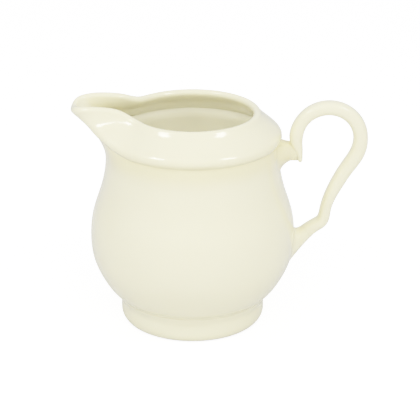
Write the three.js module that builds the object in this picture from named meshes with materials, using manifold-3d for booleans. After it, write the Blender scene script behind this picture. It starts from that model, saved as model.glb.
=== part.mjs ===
// Porcelain cream jug, built as a potter makes it: a slip-cast body whose collar is pulled
// out into a spout, a separately cast foot ring, a separately cast handle, and the slip
// joints (lutes) that hold the three together. Millimetres, +Z up. The spout points along
// -X, the handle along +X, and the jug is symmetric about the XZ plane.

import * as THREE from 'three';
import { ParametricGeometry } from 'three/addons/geometries/ParametricGeometry.js';
import { mergeVertices } from 'three/addons/utils/BufferGeometryUtils.js';
import Module from 'manifold-3d';

// ---------- foot ring: radii are to its outer face ----------
const footRadius = 30.2;
const footHeight = 11.6;        // top edge of the ring, outside
const footFlare = 0.7;          // how much wider the top roll is than the base
const footWall = 5.5;
const footToe = 2.6;            // how far the outer edge tucks in to the standing edge
const baseRoll = 4.2;           // height of the rolled lower edge
const topRoll = 3.9;            // height of the roll under the body
const footChamfer = 0.7;

// ---------- body: heights are above the table, radii are to the outer face ----------
const wall = 3.1;
const floorSink = 2.1;          // how far the body's underside sits below the ring's top edge
const waistStep = 1.1;          // where the belly rises off the foot ring, out from its edge
const waistRise = 0.3;          // and above it
const bellyRadius = 41.7;
const bellyHeight = 37.0;
const neckRadius = 35.2;
const mouthRadius = 25.9;       // middle of the rounded lip
const mouthHeight = 87.8;
const collarDrop = 8.5;         // lip to the widest line of the collar
const grooveDrop = 11.2;        // lip to the groove under the collar
const neckDrop = 20.8;          // lip to the narrowest part of the neck
const collarOverhang = 0.3;     // collar beyond the neck
const grooveDepth = 0.7;        // groove inside the neck
const ledge = 0.4;              // extra fullness along the collar's lower edge
const undercut = 0.42;          // extra depth right under it

// ---------- spout ----------
const spoutReach = 48.7;        // jug axis to the tip
const spoutRise = 4.6;          // how far the lip climbs beside the spout
const spoutDip = 2.3;           // how far it drops again at the tip
const riseHalfAngle = 24.0;     // degrees either side of the spout's middle plane
const dipAngle = 15.0;
const beakHalfAngle = 13.8;     // the narrow parallel part
const beakCrispness = 6.5;      // power of the beak's sides
const throatHalfAngle = 38.0;   // the wide part that blends into the collar
const throatShare = 0.38;
const flankHalfAngle = 48.0;    // the swelling under the spout

// ---------- handle: placed from the body it is luted to ----------
const loopReach = 28.9;         // strap's outermost point, out from the belly
const loopTop = 5.3;            // strap's highest point, above the lip
const strapHalfWidth = 3.4;
const strapHalfThickness = 2.8;
const stubLength = 6.4;         // neck to the middle of the strap beside it
const stubDrop = 16.0;          // lip to the middle of the upper joint
const stubHalfHeight = 4.1;
const stubHalfWidth = 2.7;
const tipDrop = 4.6;            // middle of the upper joint to the strap's free end
const elbowOut = 11.7;          // elbow, out from the belly
const elbowRise = 10.8;         // elbow, above the lower joint
const rootDrop = 5.2;           // widest line of the belly to the lower joint
const rootHalfHeight = 6.4;
const rootHalfWidth = 4.8;

// ---------- joints ----------
const lute = 0.9;               // thickness of the slip between two pieces
const luteLip = 0.5;            // how far the slip stands out around a handle joint
const gap = 0.3;                // clearance between neighbouring solids

// ---------- what follows from them ----------
const footBaseRadius = footRadius - footFlare;
const floorHeight = footHeight - floorSink;
const waistRadius = footRadius + waistStep;
const waistHeight = footHeight + waistRise;
const neckHeight = mouthHeight - neckDrop;
const grooveHeight = mouthHeight - grooveDrop;
const collarHeight = mouthHeight - collarDrop;
const grooveRadius = neckRadius - grooveDepth;
const collarRadius = neckRadius + collarOverhang;
const handleReach = bellyRadius + loopReach;
const handleTop = mouthHeight + loopTop;
const strapNear = neckRadius + stubLength;
const stubHeight = mouthHeight - stubDrop;
const tipHeight = stubHeight - tipDrop;
const rootHeight = bellyHeight - rootDrop;
const elbowReach = bellyRadius + elbowOut;
const elbowHeight = rootHeight + elbowRise;
const frameShift = (spoutReach - handleReach) / 2;
const degree = Math.PI / 180;

const bodyColumns = 70;
const bodyRows = 40;
const seatRows = 25;            // of those, up to just under the groove
const lipRows = 4;
const footSides = 56;
const strapStations = 46;
const strapSides = 12;
const stubStations = 8;

const glaze = { roughness: 0.18, metalness: 0 };
const cream = 0xf2efdc;
const bisque = 0xe9e2cf;

const library = await Module();
library.setup();

const clamp01 = (x) => Math.min(Math.max(x, 0), 1);

const smooth = (x) => {
  const t = clamp01(x);
  return t * t * (3 - 2 * t);
};

// Middle of the wall from the floor's centre to the lip: one curve for the plain side of the
// jug and one for the spout's own line, knot for knot.
function bodyCurves() {
  const half = wall / 2;
  const full = bellyRadius - half;
  const waistIn = bellyRadius - waistRadius;
  const neckIn = bellyRadius - neckRadius;
  const bellyDrop = bellyHeight - waistHeight;
  const neckRise = neckHeight - bellyHeight;
  const neck = neckRadius - half;
  const lower = [
    [0, floorHeight + half],
    [18, floorHeight + half],
    [waistRadius - 4.4, waistHeight + 0.1],
    [full - 0.85 * waistIn, waistHeight + 0.085 * bellyDrop],
    [full - 0.53 * waistIn, waistHeight + 0.245 * bellyDrop],
    [full - 0.27 * waistIn, waistHeight + 0.44 * bellyDrop],
    [full - 0.07 * waistIn, waistHeight + 0.67 * bellyDrop],
    [full, bellyHeight],
    [full - 0.18 * neckIn, bellyHeight + 0.31 * neckRise],
    [full - 0.67 * neckIn, bellyHeight + 0.64 * neckRise],
    [neck, neckHeight],
  ];
  const grooveRise = grooveHeight - neckHeight;
  const collar = collarRadius - half;
  const shoulder = mouthRadius - collar;
  const climb = mouthHeight - collarHeight;
  const plain = [
    [neck - 0.15 * grooveDepth, neckHeight + 0.36 * grooveRise],
    [neck - 0.6 * grooveDepth, neckHeight + 0.71 * grooveRise],
    [neck - grooveDepth, grooveHeight],
    [collar - 0.35, collarHeight - 1.4],
    [collar, collarHeight],
    [collar + 0.09 * shoulder, collarHeight + 0.155 * climb],
    [collar + 0.29 * shoulder, collarHeight + 0.325 * climb],
    [collar + 0.57 * shoulder, collarHeight + 0.555 * climb],
    [collar + 0.84 * shoulder, collarHeight + 0.79 * climb],
    [mouthRadius, mouthHeight],
  ];
  const tip = spoutReach - half;
  const tipTop = mouthHeight + spoutRise - spoutDip;
  const fromTip = ([back, down]) => [tip - back * (tip - neck), tipTop - down * (tipTop - neckHeight)];
  const spout = [[0.985, 0.749], [0.837, 0.489], [0.593, 0.251], [0.481, 0.182], [0.385, 0.136],
    [0.296, 0.106], [0.215, 0.084], [0.141, 0.063], [0.067, 0.037], [0, 0]].map(fromTip);
  const place = ([r, z]) => new THREE.Vector3(r, 0, z);
  const through = (knots) => new THREE.CatmullRomCurve3(knots.map(place));
  return [through([...lower, ...plain]), through([...lower, ...spout])];
}

const [plainCurve, spoutCurve] = bodyCurves();

// How much of the way to the spout's own line the lip has gone, at an angle from the spout's
// middle plane: a crisp beak on a wide throat.
function lipShare(angle) {
  const beak = 1 / (1 + Math.abs(angle / (beakHalfAngle * degree)) ** beakCrispness);
  const reach = clamp01(Math.abs(angle) / (throatHalfAngle * degree));
  const throat = Math.cos(reach * Math.PI / 2) ** 2;
  return (1 - throatShare) * beak + throatShare * throat;
}

// The same for the swelling under the collar.
function flankShare(angle) {
  const reach = clamp01(Math.abs(angle) / (flankHalfAngle * degree));
  return Math.cos(reach * Math.PI / 2) ** 2;
}

// How far the lip stands above the mouth at an angle from the spout's middle.
function lipHeight(angle) {
  const from = Math.abs(angle) / degree;
  const climb = spoutRise / (1 + (from / riseHalfAngle) ** 5);
  return climb - spoutDip * (1 - smooth(from / dipAngle));
}

// Point on the middle of the wall: angle from the spout, t from the floor's centre to the lip.
function bodyPoint(angle, t) {
  const side = plainCurve.getPoint(t);
  const spout = spoutCurve.getPoint(t);
  const upTo = smooth((side.z - grooveHeight) / (mouthHeight - grooveHeight));
  const lip = lipShare(angle);
  const share = flankShare(angle) * (1 - upTo) + lip * upTo;
  const radius = side.x + share * (spout.x - side.x);
  const climb = upTo ** 2 * (lipHeight(angle) - lip * (spoutRise - spoutDip));
  const height = side.z + share * (spout.z - side.z) + climb;
  return new THREE.Vector3(-radius * Math.cos(angle), radius * Math.sin(angle), height);
}

// The outer face stands this much further out along the collar's lower edge and further in
// right under it, and neither under the spout.
function collarRelief(angle, t) {
  const { z } = plainCurve.getPoint(t);
  const swelling = ledge * Math.exp(-(((z - collarHeight + 0.1) / 0.9) ** 2));
  const hollow = undercut * Math.exp(-(((z - grooveHeight - 0.5) / 0.95) ** 2));
  return (swelling - hollow) * (1 - flankShare(angle)) ** 0.7;
}

// Outward normal and upward tangent of the middle surface, by small differences.
function bodyFrame(angle, t) {
  const step = 1e-3;
  const low = Math.max(t - step, 1e-3);
  const high = Math.min(t + step, 1);
  const up = bodyPoint(angle, high).sub(bodyPoint(angle, low)).normalize();
  const side = bodyPoint(angle + step, Math.max(t, 1e-3));
  side.sub(bodyPoint(angle - step, Math.max(t, 1e-3))).normalize();
  const normal = new THREE.Vector3().crossVectors(up, side).normalize();
  return { up, normal };
}

// Columns crowd towards the spout, where the shape turns fastest. The last column is the first
// one again, number for number, so the seam closes.
function columnAngle(u) {
  const s = 2 * (u % 1) - 1;
  return -Math.PI * (0.42 * s + 0.58 * s ** 3);
}

// The body itself: half a wall either side of the middle surface, with a half-round lip.
function bodyGeometry() {
  const half = wall / 2;
  const rows = 2 * bodyRows + lipRows;
  const place = (u, v, target) => {
    const angle = columnAngle(u);
    const row = Math.round(v * rows);
    const outside = Math.min(row / bodyRows, 1);
    const inside = Math.min((rows - row) / bodyRows, 1);
    const t = row <= bodyRows ? outside : inside;
    const turn = Math.PI * clamp01((row - bodyRows) / lipRows);
    const { up, normal } = bodyFrame(angle, t);
    const relief = row < bodyRows ? collarRelief(angle, t) : 0;
    target.copy(bodyPoint(angle, t));
    target.addScaledVector(normal, half * Math.cos(turn) + relief);
    target.addScaledVector(up, half * Math.sin(turn));
    if (row === 0) target.set(0, 0, floorHeight);
    if (row === rows) target.set(0, 0, floorHeight + wall);
  };
  return new ParametricGeometry(place, bodyColumns, rows);
}

// The outer face up to the groove, pushed out by `grow` and filled, for cutting what seats on it.
function bodyBlank(grow) {
  const rows = seatRows + 1;
  const place = (u, v, target) => {
    const row = Math.round(v * rows);
    const t = Math.min(row, seatRows) / bodyRows;
    const angle = columnAngle(u);
    const out = wall / 2 + grow + collarRelief(angle, t);
    target.copy(bodyPoint(angle, t)).addScaledVector(bodyFrame(angle, t).normal, out);
    if (row === 0) target.set(0, 0, floorHeight - grow);
    if (row === rows) target.set(0, 0, mouthHeight);
  };
  return new ParametricGeometry(place, bodyColumns, rows);
}

// ---------- foot ring ----------

// Closed half profile: a roll at the top, a shallow hollow, a roll at the base, a flat to stand on.
function footProfile(inset, top) {
  const inner = footBaseRadius - footWall;
  const points = [
    [inner + footChamfer, 0],
    [footBaseRadius - footToe, 0],
    [footBaseRadius - 0.65 * footToe, 0.05 * baseRoll],
    [footBaseRadius - 0.29 * footToe, 0.29 * baseRoll],
    [footBaseRadius - 0.06 * footToe, 0.62 * baseRoll],
    [footBaseRadius, baseRoll],
    [footBaseRadius - 0.08, footHeight - topRoll],
    [footBaseRadius + 0.5 * footFlare, footHeight - 0.62 * topRoll],
    [footRadius, footHeight - 0.33 * topRoll],
    [footRadius - 0.05, footHeight - 0.5 * inset],
    [footRadius - inset, footHeight],
    [footRadius - inset, top],
    [inner - 0.6, top],
    [inner, footChamfer],
    [inner + footChamfer, 0],
  ];
  return points.map(([r, z]) => new THREE.Vector2(r, z));
}

function lutePad() {
  const outer = footRadius - 0.5;
  const inner = footBaseRadius - footWall + 0.2;
  const low = 0.5 * footHeight;
  const high = footHeight + 2 * wall;
  const points = [
    [inner, low],
    [outer, low],
    [outer, high],
    [inner, high],
    [inner, low],
  ];
  return points.map(([r, z]) => new THREE.Vector2(r, z));
}

// ---------- handle ----------

// A rounded section carried along a curve in the XZ plane. Each knot is
// [x, z, half thickness in the plane, half width across it]; both ends close to a point.
function strap(knots, stations, sides, swell) {
  const centre = new THREE.CatmullRomCurve3(knots.map(([x, z]) => new THREE.Vector3(x, 0, z)));
  const sizes = new THREE.CatmullRomCurve3(knots.map(([, , a, b]) => new THREE.Vector3(a, b, 0)));
  const rows = stations + 2;
  const squareness = 0.82;
  const place = (u, v, target) => {
    const row = Math.round(v * rows);
    const t = clamp01((row - 1) / stations);
    const tangent = centre.getTangent(t);
    const across = new THREE.Vector3(-tangent.z, 0, tangent.x);
    const size = sizes.getPoint(t);
    const turn = -2 * Math.PI * (u % 1);
    const [c, s] = [Math.cos(turn), Math.sin(turn)];
    target.copy(centre.getPoint(t));
    if (row === 0 || row === rows) return;
    target.addScaledVector(across, (size.x + swell) * Math.sign(c) * Math.abs(c) ** squareness);
    target.y += (size.y + swell) * Math.sign(s) * Math.abs(s) ** squareness;
  };
  return new ParametricGeometry(place, sides, rows);
}

// Free tip beside the neck, half circle over the top, a long sway down to the elbow, the arm.
function strapKnots() {
  const thick = strapHalfThickness;
  const wide = strapHalfWidth;
  const near = strapNear;
  const far = handleReach - thick - 0.2;
  const radius = (far - near) / 2;
  const [midX, midZ] = [(far + near) / 2, handleTop - thick - radius];
  const loop = [180, 150, 120, 90, 60, 30, 0].map((angle) => [
    midX + radius * Math.cos(angle * degree),
    midZ + radius * Math.sin(angle * degree),
    thick + 0.15 * Math.cos(angle * degree),
    wide,
  ]);
  const sway = ([across, down, a]) => [
    far - across * (far - elbowReach),
    midZ - down * (midZ - elbowHeight),
    a * thick,
    wide,
  ];
  // The free end keeps its side facing the fingers straight and tapers from the other.
  const legLength = midZ - tipHeight;
  const free = ([up, a, b]) => [near + (1 - a) * thick, tipHeight + up * legLength, a * thick, b * wide];
  return [
    ...[[0, 0.24, 0.5], [0.23, 0.42, 0.7], [0.57, 0.66, 0.86]].map(free),
    ...loop,
    ...[[0.1, 0.19, 1.1], [0.36, 0.36, 1.06], [0.64, 0.56, 0.98], [0.835, 0.73, 0.87],
      [0.94, 0.88, 0.83]].map(sway),
    [elbowReach - 0.3, elbowHeight - 0.6, 0.87 * thick, wide],
    [elbowReach - 2.9, elbowHeight - 2.8, 0.88 * thick, wide],
    [bellyRadius + 5.4, rootHeight + 5.4, 0.98 * thick, wide],
    [bellyRadius + 2.6, rootHeight + 2.6, 1.3 * thick, 1.15 * wide],
    [bellyRadius - 0.4, rootHeight + 0.2, rootHalfHeight, rootHalfWidth],
    [bellyRadius - 5, rootHeight, 1.15 * rootHalfHeight, 1.1 * rootHalfWidth],
  ];
}

// Short web from the strap to the neck, flared where it meets the neck.
function stubKnots() {
  const far = strapNear + 0.6;
  return [
    [far, stubHeight + 0.4, 0.93 * stubHalfHeight, 0.85 * stubHalfWidth],
    [neckRadius + 3.6, stubHeight + 0.4, stubHalfHeight, stubHalfWidth],
    [neckRadius + 1.4, stubHeight - 1.0, stubHalfHeight, 1.5 * stubHalfWidth],
    [neckRadius - 0.6, stubHeight - 1.6, 1.05 * stubHalfHeight, 2.5 * stubHalfWidth],
    [neckRadius - 4.5, stubHeight - 1.6, 1.05 * stubHalfHeight, 2.7 * stubHalfWidth],
  ];
}

// ---------- solids ----------

function toSolid(geometry) {
  const bare = geometry.clone();
  bare.deleteAttribute('normal');
  bare.deleteAttribute('uv');
  const merged = mergeVertices(bare, 1e-4);
  const mesh = new library.Mesh({
    numProp: 3,
    vertProperties: new Float32Array(merged.attributes.position.array),
    triVerts: new Uint32Array(merged.index.array),
  });
  return new library.Manifold(mesh);
}

function toGeometry(solid) {
  const mesh = solid.getMesh();
  const geometry = new THREE.BufferGeometry();
  const positions = new Float32Array(mesh.vertProperties);
  geometry.setAttribute('position', new THREE.BufferAttribute(positions, 3));
  geometry.setIndex(new THREE.BufferAttribute(new Uint32Array(mesh.triVerts), 1));
  geometry.computeVertexNormals();
  return geometry;
}

const touching = toSolid(bodyBlank(gap));
const slipped = toSolid(bodyBlank(gap + lute));
const seat = toSolid(bodyBlank(gap + lute + gap));

// What is left of a piece outside the slip, and the slip itself under its end.
const seated = (blank) => blank.subtract(seat);
const slipUnder = (blank) => blank.intersect(slipped).subtract(touching);

// LatheGeometry turns its profile about Y; the jug stands along Z.
function lathe(points) {
  return toSolid(new THREE.LatheGeometry(points, footSides).rotateX(Math.PI / 2));
}

function footRing() {
  return toGeometry(seated(lathe(footProfile(0.5, footHeight + wall))));
}

function footLute() {
  return toGeometry(slipUnder(lathe(lutePad())));
}

function handle() {
  const loop = toSolid(strap(strapKnots(), strapStations, strapSides, 0));
  const stub = toSolid(strap(stubKnots(), stubStations, strapSides, 0));
  return toGeometry(seated(loop.add(stub)));
}

function upperHandleLute() {
  return toGeometry(slipUnder(toSolid(strap(stubKnots(), stubStations, strapSides, luteLip))));
}

function lowerHandleLute() {
  const root = strapKnots().slice(-4);
  return toGeometry(slipUnder(toSolid(strap(root, stubStations, strapSides, luteLip))));
}

// ---------- assembly ----------

const jug = new THREE.Group();
jug.position.x = frameShift;

function addPiece(name, geometry, color) {
  const material = new THREE.MeshStandardMaterial({ color, ...glaze });
  const piece = new THREE.Mesh(geometry, material);
  piece.name = name;
  jug.add(piece);
}

addPiece('body_shell', bodyGeometry(), cream);
addPiece('foot_ring', footRing(), cream);
addPiece('foot_lute', footLute(), bisque);
addPiece('handle', handle(), cream);
addPiece('upper_handle_lute', upperHandleLute(), bisque);
addPiece('lower_handle_lute', lowerHandleLute(), bisque);

const part = new THREE.Group();
part.add(jug);

export default part;
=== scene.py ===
import math

import bpy
import numpy as np
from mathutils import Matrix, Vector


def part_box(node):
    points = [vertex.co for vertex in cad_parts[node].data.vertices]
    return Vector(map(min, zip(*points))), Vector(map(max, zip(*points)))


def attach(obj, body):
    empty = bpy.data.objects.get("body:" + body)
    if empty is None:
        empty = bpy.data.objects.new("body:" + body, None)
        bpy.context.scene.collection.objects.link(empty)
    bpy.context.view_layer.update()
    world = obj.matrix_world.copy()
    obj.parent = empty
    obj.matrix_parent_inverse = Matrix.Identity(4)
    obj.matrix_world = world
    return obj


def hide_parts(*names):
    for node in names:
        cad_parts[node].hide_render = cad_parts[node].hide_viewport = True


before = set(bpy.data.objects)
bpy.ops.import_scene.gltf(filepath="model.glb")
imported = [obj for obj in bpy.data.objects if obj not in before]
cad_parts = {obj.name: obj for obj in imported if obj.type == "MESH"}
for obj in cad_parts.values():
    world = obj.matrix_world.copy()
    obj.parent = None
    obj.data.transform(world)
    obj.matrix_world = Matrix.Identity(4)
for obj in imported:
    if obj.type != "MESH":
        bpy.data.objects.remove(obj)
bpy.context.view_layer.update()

# All shape values below are millimetres, measured from the jug's own axis and the table.
# Meshes are made in metres and moved to where the frame has the foot ring's middle.
metre = 0.001
footLow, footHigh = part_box("foot_ring")
axisX = (footLow.x + footHigh.x) / 2
degree = math.pi / 180

# ---- tools for surfaces ----


def smooth(x):
    # 3x^2 - 2x^3 between 0 and 1, level outside
    x = np.clip(x, 0, 1)
    return x * x * (3 - 2 * x)


def bell(x, spread):
    # e^(-(x / spread)^2)
    return np.exp(-((x / spread) ** 2))


def splineThrough(knots):
    # Natural cubic spline: piecewise cubics with equal slope and curvature at every knot.
    # The parameter runs by the square root of the distance in the first two columns.
    points = np.asarray(knots, float)
    steps = np.sqrt(np.linalg.norm(np.diff(points[:, :2], axis=0), axis=1))
    at = np.r_[0, np.cumsum(steps)] / steps.sum()
    h = np.diff(at)
    count = len(points)
    rows = np.eye(count)
    inner = np.arange(1, count - 1)
    rows[inner, inner - 1] = h[:-1]
    rows[inner, inner] = 2 * (h[:-1] + h[1:])
    rows[inner, inner + 1] = h[1:]
    slopes = np.diff(points, axis=0) / h[:, None]
    right = np.zeros_like(points)
    right[1:-1] = 6 * np.diff(slopes, axis=0)
    bend = np.linalg.solve(rows, right)

    def evaluate(t):
        t = np.clip(np.asarray(t, float), 0, 1)
        i = np.clip(np.searchsorted(at, t, side="right") - 1, 0, count - 2)
        a = ((at[i + 1] - t) / h[i])[..., None]
        b = 1 - a
        curve = (a**3 - a) * bend[i] + (b**3 - b) * bend[i + 1]
        return a * points[i] + b * points[i + 1] + curve * (h[i] ** 2)[..., None] / 6

    return evaluate


def unit(v):
    return v / np.maximum(np.linalg.norm(v, axis=-1, keepdims=True), 1e-12)


def hermite(start, leave, end, arrive, s):
    # Cubic from start to end that leaves and arrives along the two given vectors
    s = np.asarray(s, float).reshape(-1, *([1] * start.ndim))
    h00 = 2 * s**3 - 3 * s**2 + 1
    h10 = s**3 - 2 * s**2 + s
    h01 = -2 * s**3 + 3 * s**2
    h11 = s**3 - s**2
    return h00 * start + h10 * leave + h01 * end + h11 * arrive


def closedGrid(name, rings, poles, material, nodes, values=None):
    # rings[row, column] is a point and columns wrap round. With two poles each end is closed by
    # a fan of triangles; with none the rows wrap round too, as on a ring.
    # The faces are turned round together if the enclosed volume comes out negative.
    rowCount, columnCount = rings.shape[:2]
    points = rings.reshape(-1, 3)
    index = np.arange(rowCount * columnCount).reshape(rowCount, columnCount)
    if not poles:
        index = np.concatenate([index, index[:1]])
    right = np.roll(index, -1, axis=1)
    quads = np.stack([index[:-1], right[:-1], right[1:], index[1:]], -1).reshape(-1, 4)
    fans = np.zeros((0, 3), int)
    if poles:
        first = np.full(columnCount, rowCount * columnCount)
        startFan = np.stack([right[0], index[0], first], -1)
        endFan = np.stack([index[-1], right[-1], first + 1], -1)
        fans = np.concatenate([startFan, endFan])
        points = np.concatenate([points, poles])
    triangles = np.concatenate([quads[:, :3], quads[:, [0, 2, 3]], fans])
    a, b, c = (points[triangles[:, k]] for k in range(3))
    if np.einsum("ij,ij->", a, np.cross(b, c)) < 0:
        quads, fans = quads[:, ::-1], fans[:, ::-1]
    place = points * metre + np.array([axisX, 0, 0])
    mesh = bpy.data.meshes.new(name)
    mesh.from_pydata(place.tolist(), [], quads.tolist() + fans.tolist())
    mesh.polygons.foreach_set("use_smooth", np.ones(len(mesh.polygons), bool))
    for key, value in (values or {}).items():
        layer = mesh.attributes.new(key, "FLOAT", "POINT")
        ends = [value[0].mean(), value[-1].mean()] if poles else []
        layer.data.foreach_set("value", np.r_[value.ravel(), ends].astype(np.float32))
    mesh.update()
    piece = bpy.data.objects.new(name, mesh)
    bpy.context.scene.collection.objects.link(piece)
    piece.data.materials.append(material)
    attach(piece, "root")
    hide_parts(*nodes)
    print(name, len(mesh.polygons), "faces")
    return piece


# ---- glaze and clay ----

glazeLook = {
    "thin": (0.94, 0.888, 0.615),     # over edges and full curves
    "thick": (0.88, 0.81, 0.50),       # where it has run together, and painted shade
    "inside": (0.97, 0.93, 0.70),      # lining of the bowl, lighter as painted light
    "cloudScale": 38.0,                # slow change between thin and thick
    "cloudShare": 0.10,
    "satinScale": 90.0,                # slow change of gloss
    "satinSpread": (0.05, 0.07),       # under and over the roughness
    "roughness": 0.16,
    "coatRoughness": 0.035,
    "coatWeight": 0.6,
    "rippleScale": 160.0,
    "rippleStrength": 0.35,
    "ripple": 0.00004,                 # metres, height of the glaze's soft waves
    "scatterWeight": 0.12,
    "scatterRadius": (1.0, 0.9, 0.7),
    "scatterScale": 0.0015,            # metres
    "refraction": 1.5,
    "bare": (0.83, 0.80, 0.72),
    "bareDark": 0.86,                  # of that, in the darker grains
    "bareRoughness": 0.85,
    "grainScale": 2200.0,
    "bareBelow": 0.00055,              # metres, ground foot edge without glaze
}


def node(tree, kind, **settings):
    made = tree.nodes.new(kind)
    for key, value in settings.items():
        if key in made.inputs:
            made.inputs[key].default_value = value
        else:
            setattr(made, key, value)
    return made


def glazeMaterial(name, tint=0.0, bareFoot=False):
    # Thin and thick glaze mixed by the piece's own share of pooled glaze and painted shade plus a slow
    # cloud of noise, the lining's painted light by its "inside" value, under a clear coat with soft
    # ripples as the bump
    material = bpy.data.materials.new(name)
    material.use_nodes = True
    tree = material.node_tree
    tree.nodes.clear()
    link = tree.links.new
    out = node(tree, "ShaderNodeOutputMaterial")
    shader = node(tree, "ShaderNodeBsdfPrincipled")
    link(shader.outputs["BSDF"], out.inputs["Surface"])
    where = node(tree, "ShaderNodeTexCoord").outputs["Object"]

    # Share of the darker colour: pooled glaze, and painted shade in the neck's groove, the waist
    # crease, the foot's fillet and the stub
    glazePoolAndShade = node(tree, "ShaderNodeAttribute", attribute_name="glazePoolAndShade")
    cloud = node(tree, "ShaderNodeTexNoise", Scale=glazeLook["cloudScale"], Detail=3.0, Roughness=0.55)
    link(where, cloud.inputs["Vector"])
    cloudShare = node(tree, "ShaderNodeMapRange")
    cloudShare.inputs["From Min"].default_value = 0.3
    cloudShare.inputs["From Max"].default_value = 0.7
    cloudShare.inputs["To Min"].default_value = tint
    cloudShare.inputs["To Max"].default_value = tint + glazeLook["cloudShare"]
    link(cloud.outputs["Fac"], cloudShare.inputs["Value"])
    share = node(tree, "ShaderNodeMath", operation="ADD", use_clamp=True)
    link(glazePoolAndShade.outputs["Fac"], share.inputs[0])
    link(cloudShare.outputs["Result"], share.inputs[1])
    colour = node(tree, "ShaderNodeMix", data_type="RGBA")
    colour.inputs[6].default_value = (*glazeLook["thin"], 1)
    colour.inputs[7].default_value = (*glazeLook["thick"], 1)
    link(share.outputs["Value"], colour.inputs[0])
    # Painted light: the lining is lighter inside the bowl
    liningLightAttribute = node(tree, "ShaderNodeAttribute", attribute_name="inside")
    liningLight = node(tree, "ShaderNodeMix", data_type="RGBA")
    liningLight.inputs[7].default_value = (*glazeLook["inside"], 1)
    link(liningLightAttribute.outputs["Fac"], liningLight.inputs[0])
    link(colour.outputs[2], liningLight.inputs[6])
    baseColour = liningLight.outputs[2]

    satin = node(tree, "ShaderNodeTexNoise", Scale=glazeLook["satinScale"], Detail=4.0, Roughness=0.6)
    link(where, satin.inputs["Vector"])
    rough = node(tree, "ShaderNodeMapRange")
    under, over = glazeLook["satinSpread"]
    rough.inputs["To Min"].default_value = glazeLook["roughness"] - under
    rough.inputs["To Max"].default_value = glazeLook["roughness"] + over
    link(satin.outputs["Fac"], rough.inputs["Value"])
    roughness = rough.outputs["Result"]

    wave = node(tree, "ShaderNodeTexNoise", Scale=glazeLook["rippleScale"], Detail=2.0, Roughness=0.4)
    link(where, wave.inputs["Vector"])
    bump = node(tree, "ShaderNodeBump", Strength=glazeLook["rippleStrength"])
    bump.inputs["Distance"].default_value = glazeLook["ripple"]
    link(wave.outputs["Fac"], bump.inputs["Height"])
    link(bump.outputs["Normal"], shader.inputs["Normal"])
    link(bump.outputs["Normal"], shader.inputs["Coat Normal"])

    if bareFoot:
        # The ground edge: clay colour and a matt surface below a wavering glaze line
        height = node(tree, "ShaderNodeSeparateXYZ")
        link(where, height.inputs["Vector"])
        edge = node(tree, "ShaderNodeMapRange")
        edge.inputs["From Min"].default_value = glazeLook["bareBelow"]
        edge.inputs["From Max"].default_value = glazeLook["bareBelow"] * 1.5
        edge.inputs["To Min"].default_value = 1.0
        edge.inputs["To Max"].default_value = 0.0
        link(height.outputs["Z"], edge.inputs["Value"])
        grain = node(tree, "ShaderNodeTexNoise", Scale=glazeLook["grainScale"], Detail=2.0)
        link(where, grain.inputs["Vector"])
        clay = node(tree, "ShaderNodeMix", data_type="RGBA")
        clay.inputs[6].default_value = (*glazeLook["bare"], 1)
        clay.inputs[7].default_value = (*[glazeLook["bareDark"] * v for v in glazeLook["bare"]], 1)
        link(grain.outputs["Fac"], clay.inputs[0])
        both = node(tree, "ShaderNodeMix", data_type="RGBA")
        link(edge.outputs["Result"], both.inputs[0])
        link(baseColour, both.inputs[6])
        link(clay.outputs[2], both.inputs[7])
        baseColour = both.outputs[2]
        matt = node(tree, "ShaderNodeMix", data_type="FLOAT")
        matt.inputs[3].default_value = glazeLook["bareRoughness"]
        link(edge.outputs["Result"], matt.inputs[0])
        link(roughness, matt.inputs[2])
        roughness = matt.outputs[0]

    link(baseColour, shader.inputs["Base Color"])
    link(roughness, shader.inputs["Roughness"])
    shader.inputs["IOR"].default_value = glazeLook["refraction"]
    shader.inputs["Coat Weight"].default_value = glazeLook["coatWeight"]
    shader.inputs["Coat Roughness"].default_value = glazeLook["coatRoughness"]
    shader.inputs["Subsurface Weight"].default_value = glazeLook["scatterWeight"]
    shader.inputs["Subsurface Radius"].default_value = glazeLook["scatterRadius"]
    shader.inputs["Subsurface Scale"].default_value = glazeLook["scatterScale"]
    return material


bodyGlaze = glazeMaterial("creamGlazeBody")
handleGlaze = glazeMaterial("creamGlazeHandle", tint=0.02)
footGlaze = glazeMaterial("creamGlazeFoot", tint=0.03, bareFoot=True)
slipGlaze = glazeMaterial("creamGlazeOverSlip", tint=0.12)
print("materials made")

# ---- body: belly, neck, collar and spout ----

body = {
    "wall": 3.1,
    "floorHeight": 9.5,
    "waistRadius": 31.3,
    "waistHeight": 11.9,
    "bellyRadius": 41.64,
    "bellyHeight": 37.0,
    "neckRadius": 35.2,
    "neckHeight": 67.0,
    "grooveRadius": 34.5,
    "grooveHeight": 76.6,
    "collarRadius": 35.5,
    "collarHeight": 79.3,
    "mouthRadius": 25.9,
    "mouthHeight": 87.8,
    "spoutReach": 48.6,
    "spoutRise": 4.6,           # how far the lip climbs beside the spout
    "spoutDip": 2.3,            # and drops again at its tip
    "riseHalfAngle": 24.0,
    "dipAngle": 15.0,
    "beakHalfAngle": 13.8,
    "beakCrispness": 6.5,
    "throatHalfAngle": 38.0,
    "throatShare": 0.38,
    "flankHalfAngle": 48.0,
    "ledge": 0.40,              # extra fullness along the collar's lower edge
    "undercut": 0.42,           # extra depth of the groove below it
    "groovePaintedShade": (-2.0, 4.5, 0.9),    # middle above the groove, spread, and amount: painted shade under the collar and down the neck
    "creasePaintedShade": (-0.3, 1.2, 0.5),    # the same above the waist: painted shade in the crease
    "basinGlaze": (0.0, 3.0, 0.5),      # the same above the inside floor: pooled glaze
    "liningLightStart": 6.0,                 # depth under the mouth where the lining's painted light is full
    "seatRange": (12.0, 79.0),          # heights that the handle's joints may use
    "columns": 400,
    "outerRows": 124,
    "innerRows": 76,
    "lipRows": 14,
}


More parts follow.
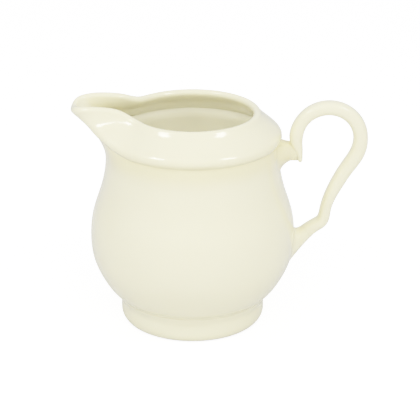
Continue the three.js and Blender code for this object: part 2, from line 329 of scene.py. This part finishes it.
def bodyProfile():
    # Middle of the wall from the floor's centre up to the lip, as (radius, height) away from the
    # spout and (radius, height) on the spout's own line
    half = body["wall"] / 2
    drop = body["bellyHeight"] - body["waistHeight"]
    rise = body["neckHeight"] - body["bellyHeight"]
    neckIn = body["bellyRadius"] - body["neckRadius"]
    full = body["bellyRadius"] - half
    low = body["bellyRadius"] - body["waistRadius"]
    waist, belly = body["waistHeight"], body["bellyHeight"]
    neck, neckZ = body["neckRadius"] - half, body["neckHeight"]
    groove, grooveZ = body["grooveRadius"] - half, body["grooveHeight"]
    collar, collarZ = body["collarRadius"] - half, body["collarHeight"]
    mouth, mouthZ = body["mouthRadius"], body["mouthHeight"]
    tip, tipZ = body["spoutReach"] - half, mouthZ + body["spoutRise"] - body["spoutDip"]
    plain = [
        (0, body["floorHeight"] + half),
        (9, body["floorHeight"] + half),
        (18, body["floorHeight"] + half),
        (body["waistRadius"] - 4.4, waist + 0.1),
        (full - 0.85 * low, waist + 0.085 * drop),
        (full - 0.53 * low, waist + 0.245 * drop),
        (full - 0.27 * low, waist + 0.44 * drop),
        (full - 0.07 * low, waist + 0.67 * drop),
        (full, belly),
        (full - 0.18 * neckIn, belly + 0.31 * rise),
        (full - 0.67 * neckIn, belly + 0.64 * rise),
        (neck, neckZ),
    ]
    shoulder, climb = mouth - collar, mouthZ - collarZ
    pinch, lift = groove - neck, grooveZ - neckZ
    upper = [
        ((neck + 0.15 * pinch, neckZ + 0.36 * lift), (tip - 13.3, tipZ - 17.3)),
        ((neck + 0.6 * pinch, neckZ + 0.71 * lift), (tip - 11.3, tipZ - 11.3)),
        ((groove, grooveZ), (tip - 8.0, tipZ - 5.8)),
        ((collar - 0.35, collarZ - 1.4), (tip - 6.5, tipZ - 4.2)),
        ((collar, collarZ), (tip - 5.2, tipZ - 3.15)),
        ((collar + 0.09 * shoulder, collarZ + 0.155 * climb), (tip - 4.0, tipZ - 2.45)),
        ((collar + 0.29 * shoulder, collarZ + 0.325 * climb), (tip - 2.9, tipZ - 1.95)),
        ((collar + 0.57 * shoulder, collarZ + 0.555 * climb), (tip - 1.9, tipZ - 1.45)),
        ((collar + 0.84 * shoulder, collarZ + 0.79 * climb), (tip - 0.9, tipZ - 0.85)),
        ((mouth, mouthZ), (tip, tipZ)),
    ]
    return splineThrough([(*p, *p) for p in plain] + [(*p, *q) for p, q in upper])


profile = bodyProfile()


def lipShare(angle):
    # How much of the way to the spout's own line the lip has gone.
    # Beak: 1 / (1 + (angle / half angle)^crispness). Throat: cosine squared to its half angle.
    beak = 1 / (1 + np.abs(angle / (body["beakHalfAngle"] * degree)) ** body["beakCrispness"])
    reach = np.clip(np.abs(angle) / (body["throatHalfAngle"] * degree), 0, 1)
    throat = np.cos(reach * math.pi / 2) ** 2
    return (1 - body["throatShare"]) * beak + body["throatShare"] * throat


def flankShare(angle):
    # The same below the collar: cosine squared over a wider angle
    reach = np.clip(np.abs(angle) / (body["flankHalfAngle"] * degree), 0, 1)
    return np.cos(reach * math.pi / 2) ** 2


def lipHeight(angle):
    # Rise / (1 + (angle / half angle)^5), less a dip that fades by 3x^2 - 2x^3
    off = np.abs(angle) / degree
    climb = body["spoutRise"] / (1 + (off / body["riseHalfAngle"]) ** 5)
    return climb - body["spoutDip"] * (1 - smooth(off / body["dipAngle"]))


def bodyMiddle(angle, t):
    # Plain curve and spout curve mixed: flank share up to the groove, lip share at the lip
    flat = profile(t)
    groove, mouth = body["grooveHeight"], body["mouthHeight"]
    upTo = smooth((flat[..., 1] - groove) / (mouth - groove))
    atLip = lipShare(angle)
    share = flankShare(angle) * (1 - upTo) + atLip * upTo
    radius = flat[..., 0] + share * (flat[..., 2] - flat[..., 0])
    height = flat[..., 1] + share * (flat[..., 3] - flat[..., 1])
    tipRise = body["spoutRise"] - body["spoutDip"]
    height = height + upTo**2 * (lipHeight(angle) - atLip * tipRise)
    return np.stack([-radius * np.cos(angle), radius * np.sin(angle), height], -1)


def collarRelief(angle, t):
    # Outer face only: a bell-shaped swelling on the ledge and a bell-shaped hollow under it,
    # both fading out along the spout's flank
    z = profile(t)[..., 1]
    ledge = body["ledge"] * bell(z - body["collarHeight"] + 0.1, 0.9)
    hollow = body["undercut"] * bell(z - body["grooveHeight"] - 0.5, 0.95)
    return (ledge - hollow) * (1 - flankShare(angle)) ** 0.7


def bodyFrame(angle, t):
    # Middle point, outward normal and upward tangent, from small differences of the formula
    step = 2e-4
    t = np.maximum(t, 2 * step)
    up = unit(bodyMiddle(angle, np.minimum(t + step, 1)) - bodyMiddle(angle, t - step))
    side = unit(bodyMiddle(angle + step, t) - bodyMiddle(angle - step, t))
    return bodyMiddle(angle, t), unit(np.cross(up, side)), up


def shadeAndPoolBell(key, height):
    # A bell over the height: painted shade in the groove and the crease, pooled glaze over the inside
    # floor
    middle, spread, amount = body[key]
    return amount * bell(height - middle, spread)


def makeBody():
    # Outer face, half-round lip and inner face, each half a wall from the middle surface
    s = np.linspace(-1, 1, body["columns"], endpoint=False)
    angle = math.pi * (0.5 * s + 0.5 * s**3)[None, :]
    half = body["wall"] / 2
    rowsOut = np.linspace(0, 1, body["outerRows"] + 1)[1:, None]
    rowsIn = np.linspace(1, 0, body["innerRows"] + 1)[:-1, None]
    middle, normal, up = bodyFrame(angle, rowsOut)
    outer = middle + (half + collarRelief(angle, rowsOut))[..., None] * normal
    turn = (np.linspace(0, math.pi, body["lipRows"] + 1)[1:-1, None])[..., None]
    lip = middle[-1] + half * (np.cos(turn) * normal[-1] + np.sin(turn) * up[-1])
    middleIn, normalIn, _ = bodyFrame(angle, rowsIn)
    inner = middleIn - half * normalIn
    rings = np.concatenate([outer, lip, inner])
    floorMiddle = body["floorHeight"] + half
    z = rings[..., 2]
    outside = np.r_[np.ones(len(outer)), np.zeros(len(lip) + len(inner))][:, None]
    # Painted shade in the groove under the collar and down the neck
    groove = shadeAndPoolBell("groovePaintedShade", z - body["grooveHeight"])
    # Painted shade in the crease above the waist
    crease = shadeAndPoolBell("creasePaintedShade", z - body["waistHeight"])
    basin = shadeAndPoolBell("basinGlaze", z - floorMiddle - half)
    # Darker colour outside as painted shade, inside as pooled glaze
    glazePoolAndShade = (groove + crease) * outside + basin * (1 - outside)
    # Painted light on the lining, full from a little under the mouth, less over the inside floor
    liningLight = smooth((body["mouthHeight"] - z) / body["liningLightStart"])
    inside = (1 - outside) * liningLight * (1 - basin)
    poles = [(0, 0, body["floorHeight"]), (0, 0, floorMiddle + half)]
    return closedGrid("bodyShell", rings, poles, bodyGlaze, ["body_shell"],
                      {"glazePoolAndShade": glazePoolAndShade, "inside": inside})


makeBody()


def outerAt(height):
    # Radius of the outer face at a height, and its normal's radial and vertical parts
    t = np.linspace(0.2, 1, 4000)
    middle, normal, _ = bodyFrame(np.full_like(t, math.pi), t)
    face = middle + (body["wall"] / 2 + collarRelief(math.pi, t))[:, None] * normal
    lowest, highest = body["seatRange"]
    keep = (face[:, 2] > lowest) & (face[:, 2] < highest)
    z, r = face[keep, 2], face[keep, 0]
    order = np.argsort(z)
    z, r = z[order], r[order]
    radial, vertical = normal[keep, 0][order], normal[keep, 2][order]
    return (np.interp(height, z, r), np.interp(height, z, radial), np.interp(height, z, vertical))


def onBody(across, height, out=0.0):
    # Point on the handle side of the body, and the outward normal there
    radius, radial, vertical = outerAt(height)
    beta = np.arcsin(np.clip(across / radius, -1, 1))
    normal = np.stack([radial * np.cos(beta), radial * np.sin(beta), vertical], -1)
    point = np.stack([radius * np.cos(beta), radius * np.sin(beta), height], -1)
    return point + out * normal, normal


# ---- foot ring and the slip that joins it ----

foot = {
    "radius": 30.2,
    "baseRadius": 29.5,
    "height": 11.6,
    "innerRadius": 24.0,
    "standing": (24.9, 26.9),      # ground edge
    "sink": 1.2,                   # how far hidden rims reach into their neighbours
    "fillet": 1.7,
    "columns": 320,
    "filletRows": 14,
}


def turned(profilePoints, columns):
    # Each (radius, height) of the profile carried round the axis
    angle = np.linspace(0, 2 * math.pi, columns, endpoint=False)
    radius, height = profilePoints[:, 0, None], profilePoints[:, 1, None]
    level = height + 0 * angle
    return np.stack([radius * np.cos(angle), radius * np.sin(angle), level], -1)


def makeFoot():
    # Ground edge, toe, slightly waisted outside, rounded shoulder, hidden top, straight inside
    base, full, high = foot["baseRadius"], foot["radius"], foot["height"]
    inner = foot["innerRadius"]
    low, wide = foot["standing"]
    outside = splineThrough([
        (wide, 0), (wide + 0.9, 0.22), (base - 0.75, 1.2), (base - 0.15, 2.6), (base, 4.2),
        (base - 0.06, 6.2), (base - 0.08, 7.7), (base + 0.35, 9.2), (full, 10.3),
        (full - 0.05, high),
    ])(np.linspace(0, 1, 64))
    hidden = np.array([
        (full - 0.9, high + 0.7), (full - 2.7, high), (inner + 1.2, high - 1.0),
        (inner - 0.2, high - 1.4),
    ])
    inside = splineThrough([
        (inner - 0.1, 9.2), (inner - 0.05, 6), (inner, 2.2), (inner + 0.15, 0.7), (low, 0),
    ])(np.linspace(0, 1, 36))
    ground = np.stack([np.linspace(low, wide, 8)[1:-1], np.zeros(6)], -1)
    rings = turned(np.concatenate([outside, hidden, inside, ground]), foot["columns"])
    return closedGrid("footRing", rings, None, footGlaze, ["foot_ring"])


makeFoot()


def profileFace(height=None, radius=None):
    # (radius, height) and upward tangent on the body's outer face, at a height or at a radius
    t = np.linspace(0.002, 0.5, 6000)
    middle, normal, up = bodyFrame(np.full_like(t, math.pi), t)
    face = middle + body["wall"] / 2 * normal
    off = face[:, 2] - height if radius is None else face[:, 0] - radius
    at = np.argmin(np.abs(off))
    return face[at, [0, 2]], up[at, [0, 2]]


def makeFootLute():
    # Concave fillets outside and inside, each leaving the foot and arriving on the body along
    # their surfaces, joined through the hidden stock between them
    full, high, inner, sink = foot["radius"], foot["height"], foot["innerRadius"], foot["sink"]
    s = np.linspace(0, 1, foot["filletRows"])
    reach = foot["fillet"]
    footSide = np.array([full - 0.01, high - 1.1])
    bodySide, bodyUp = profileFace(height=high + 1.7)
    outer = hermite(footSide, np.array([0, 1.6 * reach]), bodySide, bodyUp * 1.6 * reach, s)
    under, underUp = profileFace(radius=inner - 1.9)
    innerSide = np.array([inner - 0.09, 7.9])
    inside = hermite(under, underUp * 2.6, innerSide, np.array([0, -2.6]), s)
    tuckBody = bodySide + bodyUp * 0.6 + np.array([-0.25, 0.1])
    tuckFloor = under - underUp * 0.6 + np.array([0, 0.25])
    rim = np.array([
        tuckBody, tuckBody + (-sink, 0), (full - 3.2, high + 0.2), (inner, high - 1.0),
        tuckFloor + (0, 0.5), tuckFloor,
    ])
    back = np.array([
        innerSide + (0.25, -0.5), (inner + 1.0, high - 4.0), (full - 1.2, high - 1.4),
        footSide + (-0.2, -0.5),
    ])
    rings = turned(np.concatenate([outer, rim, inside, back]), foot["columns"])
    # Painted shade: a quarter share of the darker colour over the fillet in the crease between foot
    # and belly
    glazePoolAndShade = np.full(rings.shape[:2], 0.25)
    return closedGrid("footLute", rings, None, slipGlaze, ["foot_lute"], {"glazePoolAndShade": glazePoolAndShade})


makeFootLute()

# ---- handle: looped strap, stub to the neck, root on the belly ----

handle = {
    "reach": 70.55,
    "top": 93.1,
    "halfWidth": 3.4,
    "halfThickness": 2.8,
    "near": 41.6,
    "tipHeight": 67.2,
    "tipRound": 1.2,
    "elbowReach": 53.4,
    "elbowHeight": 42.6,
    "rootHeight": 31.8,
    "squareness": 0.78,
    "stations": 420,
    "sides": 72,
    "stubHeight": 72.0,
    "stubHalfHeight": 4.0,
    "stubHalfWidth": 2.6,
    "stubFoot": (70.9, 7.2, 10.0),     # middle height, half height, half width on the neck
    "rootFoot": (30.6, 8.6, 7.2),      # the same on the belly
}


def strapPath():
    # (x, z, half thickness, half width) along the strap, from its free tip to inside the belly
    thick, wide = handle["halfThickness"], handle["halfWidth"]
    far = handle["reach"] - thick - 0.2
    radius = (far - handle["near"]) / 2
    middleX, middleZ = (far + handle["near"]) / 2, handle["top"] - thick - radius
    elbowX, elbowZ = handle["elbowReach"], handle["elbowHeight"]
    tipZ = handle["tipHeight"]
    belly, root = body["bellyRadius"], handle["rootHeight"]
    knots = []
    for up, a, b in [(0, 0.26, 0.6), (0.23, 0.42, 0.72), (0.57, 0.66, 0.86)]:
        knots.append((
            handle["near"] + (1 - a) * thick, tipZ + up * (middleZ - tipZ), a * thick, b * wide,
        ))
    for step in range(7):
        turn = math.pi - step * 30 * degree
        at = (middleX + radius * math.cos(turn), middleZ + radius * math.sin(turn))
        knots.append((*at, thick + 0.15 * math.cos(turn), wide))
    for across, down, share in [
        (0.10, 0.19, 1.08), (0.36, 0.36, 1.03), (0.64, 0.56, 0.96), (0.835, 0.73, 0.86),
        (0.94, 0.88, 0.82),
    ]:
        at = (far + across * (elbowX - far), middleZ + down * (elbowZ - middleZ))
        knots.append((*at, share * thick, wide))
    knots += [
        (elbowX - 0.3, elbowZ - 0.6, 0.87 * thick, wide),
        (elbowX - 2.9, elbowZ - 2.8, 0.88 * thick, wide),
        (belly + 5.4, root + 5.4, 0.98 * thick, wide),
        (belly + 2.2, root + 2.2, 1.1 * thick, wide),
        (belly - 1.4, root - 1.0, 1.2 * thick, wide),
    ]
    return splineThrough(knots)


strap = strapPath()


def sectionRing(centre, tangent, halfThick, halfWide, squareness, sides):
    # Superellipse round the centre: the cosine part along the in-plane normal, the sine part
    # across the plane, each raised to the squareness
    u = np.linspace(0, 2 * math.pi, sides, endpoint=False)
    c, s = np.cos(u), np.sin(u)
    alongNormal = halfThick[..., None] * np.sign(c) * np.abs(c) ** squareness
    across = halfWide[..., None] * np.sign(s) * np.abs(s) ** squareness
    normal = np.stack([-tangent[..., 1], tangent[..., 0]], -1)
    flat = centre[..., None, :] + alongNormal[..., None] * normal[..., None, :]
    return np.stack([flat[..., 0], across, flat[..., 1]], -1)


def strapFrame(t):
    step = 1e-3
    at = strap(t)
    return at, unit((strap(t + step) - strap(t - step))[..., :2])


def makeStrap():
    # Section carried along the path; the free tip is rounded by a quarter ellipse
    t = np.linspace(0, 1, handle["stations"])
    at, tangent = strapFrame(t)
    run = np.r_[0, np.cumsum(np.linalg.norm(np.diff(at[:, :2], axis=0), axis=1))]
    early = np.linspace(0, 1, 14)[1:] ** 2
    keep = run > handle["tipRound"]
    tipT = np.interp(early * handle["tipRound"], run, t)
    tipAt, tipTangent = strapFrame(tipT)
    tipScale = np.sqrt(1 - (1 - early) ** 2)
    centre = np.concatenate([tipAt[:, :2], at[keep, :2]])
    direction = np.concatenate([tipTangent, tangent[keep]])
    shrink = (0.25 + 0.75 * tipScale) * tipScale**0.6
    thick = np.r_[tipAt[:, 2] * shrink, at[keep, 2]]
    wide = np.r_[tipAt[:, 3] * shrink, at[keep, 3]]
    rings = sectionRing(centre, direction, thick, wide, handle["squareness"], handle["sides"])
    first, last = strap(np.array([0.0, 1.0]))
    poles = [(first[0], 0, first[1]), (last[0], 0, last[1])]
    return closedGrid("handleStrap", rings, poles, handleGlaze, ["handle"])


makeStrap()


def footprint(spot, sides, grow=1.0, out=0.0, flip=1.0):
    # Ellipse laid on the body's handle side, and the way outwards from its middle along the body
    middle, halfHigh, halfWide = spot
    u = np.linspace(0, 2 * math.pi, sides, endpoint=False)
    high, wide = flip * halfHigh * np.cos(u), halfWide * np.sin(u)
    ring, _ = onBody(grow * wide, middle + grow * high, out)
    near, _ = onBody((grow - 0.04) * wide, middle + (grow - 0.04) * high, out)
    return ring, unit(ring - near)


def luteRows(ringA, leave, spot, arrive, flip):
    # Fillet from a ring on the handle to an ellipse on the body, tangent to both, its ends
    # carried on under the surfaces they meet
    s = np.linspace(0, 1, 26)
    ringB, outward = footprint(spot, ringA.shape[0], flip=flip)
    rows = hermite(ringA, leave, ringB, outward * arrive, s)
    under = [
        footprint(spot, ringA.shape[0], 1 + grow, -depth, flip)[0]
        for grow, depth in [(0.03, 0.05), (0.06, 0.2), (0.03, 0.8)]
    ]
    return np.concatenate([rows, np.stack(under)])


def makeStub():
    # Straight oval bar from inside the strap to the neck, opening into its fillet
    sides = handle["sides"]
    high, wide = handle["stubHalfHeight"], handle["stubHalfWidth"]
    near, level = handle["near"], handle["stubHeight"]
    neck = body["neckRadius"]
    centreX = np.array([near + 0.8, near - 0.6, near - 1.8])
    centre = np.stack([centreX, np.full(3, level)], -1)
    tangent = np.tile([-1.0, 0.0], (3, 1))
    bar = sectionRing(centre, tangent, np.full(3, high), np.full(3, wide), 0.9, sides)
    flip = -1.0
    leave = np.zeros((sides, 3)) + np.array([-2.6, 0, 0])
    fillet = luteRows(bar[-1], leave, handle["stubFoot"], 7.0, flip)
    poles = [(near + 0.8, 0, level), (neck - 2.0, 0, level)]
    rings = np.concatenate([bar, fillet])
    # Painted shade: the stub sits in shadow between the strap and the neck, so it takes most of the
    # darker colour
    glazePoolAndShade = np.full(rings.shape[:2], 0.7)
    closedGrid("handleStub", rings, poles, slipGlaze, ["upper_handle_lute"], {"glazePoolAndShade": glazePoolAndShade})


makeStub()


def makeRoot():
    # The strap's last stretch opening into its fillet on the belly
    sides = handle["sides"]
    t = np.linspace(0, 1, 4000)
    at, _ = strapFrame(t)
    start = t[np.nonzero((t > 0.8) & (at[:, 0] < body["bellyRadius"] + 5.6))[0][0]]
    places = np.array([start - 0.012, start])
    at, tangent = strapFrame(places)
    grow = np.array([-0.3, 0.01])
    thick, wide = at[:, 2] + grow, at[:, 3] + grow
    bar = sectionRing(at[:, :2], tangent, thick, wide, handle["squareness"], sides)
    leave = np.zeros((sides, 3)) + np.array([tangent[1, 0], 0, tangent[1, 1]]) * 5.0
    fillet = luteRows(bar[-1], leave, handle["rootFoot"], 7.0, -1.0)
    inside, _ = onBody(np.array(0.0), np.array(handle["rootHeight"]), -1.5)
    poles = [(at[0, 0], 0, at[0, 1]), tuple(inside)]
    closedGrid("handleRoot", np.concatenate([bar, fillet]), poles, slipGlaze,
               ["lower_handle_lute"])


makeRoot()
print("handle made")

# ---- camera, floor and studio light ----

view = {
    "elevation": 22.801,
    "distance": 0.700,
    "aimHeight": 0.042,
    "lens": 146.34,
    "shift": (0.04152, 0.0221),
}


def makeCamera():
    tilt = view["elevation"] * degree
    camera = bpy.data.objects.new("camera", bpy.data.cameras.new("camera"))
    bpy.context.scene.collection.objects.link(camera)
    back, up = view["distance"] * math.cos(tilt), view["distance"] * math.sin(tilt)
    camera.location = (axisX, -back, view["aimHeight"] + up)
    camera.rotation_euler = (math.pi / 2 - tilt, 0, 0)
    camera.data.lens = view["lens"]
    camera.data.sensor_width = 36
    camera.data.shift_x, camera.data.shift_y = view["shift"]
    camera.data.clip_start = 0.01
    bpy.context.scene.camera = camera


makeCamera()

studio = {
    "worldStrength": 0.385,
    "softboxAzimuth": 55.0,
    "softboxElevation": 46.0,
    "softboxDistance": 0.9,
    "softboxAim": 0.05,             # metres above the table
    "softboxSize": 0.2,
    "softboxWatts": 0.68,
    "frontWatts": 3.9,
    "frontSize": 1.0,
    "frontPlace": (-1.2, 0.75),     # metres in front of the jug and above the table
    "frontTilt": 30.0,
    "floorHalfSize": 4.0,
    "floorShade": 0.8,
    "floorGlow": 0.60,
    "floorRoughness": 0.6,
    "tableShade": 0.8,
    "tableRoughness": 0.12,
    "filmShoulder": 3.0,
}


def stagePlane(name, height, material):
    half = studio["floorHalfSize"]
    corners = [(x * half, y * half, height) for x, y in ((-1, -1), (1, -1), (1, 1), (-1, 1))]
    mesh = bpy.data.meshes.new(name)
    mesh.from_pydata(corners, [], [(0, 1, 2, 3)])
    plane = bpy.data.objects.new(name, mesh)
    bpy.context.scene.collection.objects.link(plane)
    mesh.materials.append(material)
    return plane


def floorMaterial(name, shade, glow, roughness):
    material = bpy.data.materials.new(name)
    material.use_nodes = True
    tree = material.node_tree
    tree.nodes.clear()
    out = node(tree, "ShaderNodeOutputMaterial")
    shader = node(tree, "ShaderNodeBsdfPrincipled")
    shader.inputs["Base Color"].default_value = (shade, shade, shade, 1)
    shader.inputs["Roughness"].default_value = roughness
    shader.inputs["Emission Color"].default_value = (1, 1, 1, 1)
    shader.inputs["Emission Strength"].default_value = glow
    tree.links.new(shader.outputs["BSDF"], out.inputs["Surface"])
    return material


def makeFilm():
    # Film shoulder over scene light x: (1 - e^(-k x)) / (1 - e^(-k))
    settings = bpy.context.scene.view_settings
    settings.view_transform = "Standard"
    settings.use_curve_mapping = True
    k = studio["filmShoulder"]
    for x in (0.1, 0.2, 0.3, 0.42, 0.56, 0.7, 0.85):
        settings.curve_mapping.curves[3].points.new(x, (1 - math.exp(-k * x)) / (1 - math.exp(-k)))
    settings.curve_mapping.update()


def makeLamp(name, watts, size, place, turn):
    data = bpy.data.lights.new(name, "AREA")
    data.shape = "SQUARE"
    data.size = size
    data.energy = watts
    lamp = bpy.data.objects.new(name, data)
    bpy.context.scene.collection.objects.link(lamp)
    lamp.location = place
    lamp.rotation_euler = turn
    return lamp


def makeStudio():
    world = bpy.data.worlds.new("studio")
    bpy.context.scene.world = world
    world.use_nodes = True
    back = world.node_tree.nodes["Background"]
    back.inputs["Color"].default_value = (1, 1, 1, 1)
    back.inputs["Strength"].default_value = studio["worldStrength"]
    # What the camera sees of the floor is overexposed; what lights the jug from below is not
    pale = floorMaterial(
        "paleFloor", studio["floorShade"], studio["floorGlow"], studio["floorRoughness"]
    )
    seen = stagePlane("floor", -0.0002, pale)
    seen.visible_diffuse = seen.visible_glossy = seen.visible_shadow = False
    bounce = floorMaterial("paleTable", studio["tableShade"], 0.0, studio["tableRoughness"])
    table = stagePlane("floorBounce", -0.0003, bounce)
    table.visible_camera = False
    azimuth, height = studio["softboxAzimuth"] * degree, studio["softboxElevation"] * degree
    reach = studio["softboxDistance"]
    for side, sign in (("left", -1), ("right", 1)):
        place = (
            axisX + sign * reach * math.cos(height) * math.sin(azimuth),
            -reach * math.cos(height) * math.cos(azimuth),
            studio["softboxAim"] + reach * math.sin(height),
        )
        turn = (math.pi / 2 - height, 0, sign * azimuth)
        makeLamp("softbox" + side, studio["softboxWatts"], studio["softboxSize"], place, turn)
    # The broad front light lights the glaze but doesn't show in it
    ahead, above = studio["frontPlace"]
    turn = (math.pi / 2 - studio["frontTilt"] * degree, 0, 0)
    front = makeLamp("front", studio["frontWatts"], studio["frontSize"], (axisX, ahead, above), turn)
    front.visible_glossy = False


makeFilm()
makeStudio()
print("studio made")
